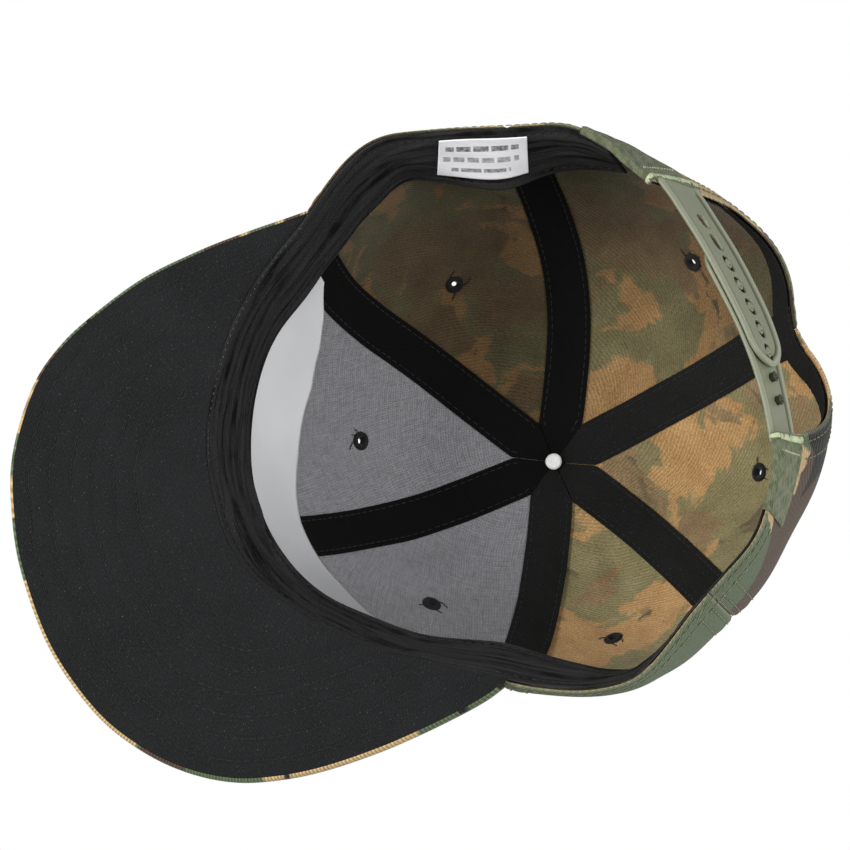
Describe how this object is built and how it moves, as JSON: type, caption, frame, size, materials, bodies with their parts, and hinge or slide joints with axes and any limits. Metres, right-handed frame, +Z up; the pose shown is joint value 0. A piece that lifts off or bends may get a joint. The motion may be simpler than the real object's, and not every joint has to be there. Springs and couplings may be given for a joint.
{
  "type": "snapback cap",
  "caption": "Woodland camouflage twill snapback baseball cap with flat black-lined visor, taped seams, buckram front and plastic snap strap.",
  "frame": {"origin": "centre of the head opening, in the plane of the rim", "axes": "+Z up to the crown top as worn, -Y forward along the visor, +X to the wearer's left"},
  "size_m": [0.2093, 0.2815, 0.1267],
  "materials": {
    "camo_twill": "woodland print cotton twill",
    "black_twill": "fine matt twill",
    "black_tape": "plain woven seam tape",
    "black_sateen": "soft folded sweatband cloth",
    "buckram": "stiff open mesh",
    "white_foam": "smooth white sheet",
    "visor_board": "plain moulded sheet",
    "strap_plastic": "satin soft plastic",
    "black_thread": "embroidered thread",
    "label_satin": "printed satin",
    "white_enamel": "satin enamel"
  },
  "bodies": {
    "cap": {"panel_front_left": "camo_twill", "panel_front_right": "camo_twill", "panel_side_left": "camo_twill", "panel_side_right": "camo_twill", "panel_back_left": "camo_twill", "panel_back_right": "camo_twill", "buckram_left": "buckram", "buckram_right": "buckram", "seam_tape_front": "black_tape", "seam_tape_front_left": "black_tape", "seam_tape_front_right": "black_tape", "seam_tape_rear_left": "black_tape", "seam_tape_rear_right": "black_tape", "seam_tape_rear": "black_tape", "sweatband": "black_sateen", "front_shape_strip": "white_foam", "arch_binding": "black_tape", "strap_tab_left": "camo_twill", "strap_tab_right": "camo_twill", "visor_under_cover": "black_twill", "visor_board": "visor_board", "visor_top_cover": "camo_twill", "eyelet_front_left": "black_thread", "eyelet_front_right": "black_thread", "eyelet_side_left": "black_thread", "eyelet_side_right": "black_thread", "eyelet_back_left": "black_thread", "eyelet_back_right": "black_thread", "button_cap": "camo_twill", "button_rivet": "white_enamel"},
    "strap_outer": {"snap_strap_slotted": "strap_plastic"},
    "strap_inner": {"snap_strap_pegged": "strap_plastic"},
    "label": {"care_label": "label_satin"}
  },
  "joints": [
    {"name": "slotted_strap_hinge", "type": "hinge", "parent": "cap", "child": "strap_outer", "pos_m": [0.04367, 0.08994, 0.00935], "axis": [0.2316, -0.4792, -0.8466], "range_deg": [0, 60]},
    {"name": "pegged_strap_hinge", "type": "hinge", "parent": "cap", "child": "strap_inner", "pos_m": [-0.04462, 0.08722, 0.01013], "axis": [-0.0196, -0.3484, -0.9371], "range_deg": [0, 40]},
    {"name": "care_label_fold", "type": "hinge", "parent": "cap", "child": "label", "pos_m": [0.08846, 0.03562, 0.00227], "axis": [0.3878, -0.9217, -0.0048], "range_deg": [0, 75]}
  ]
}
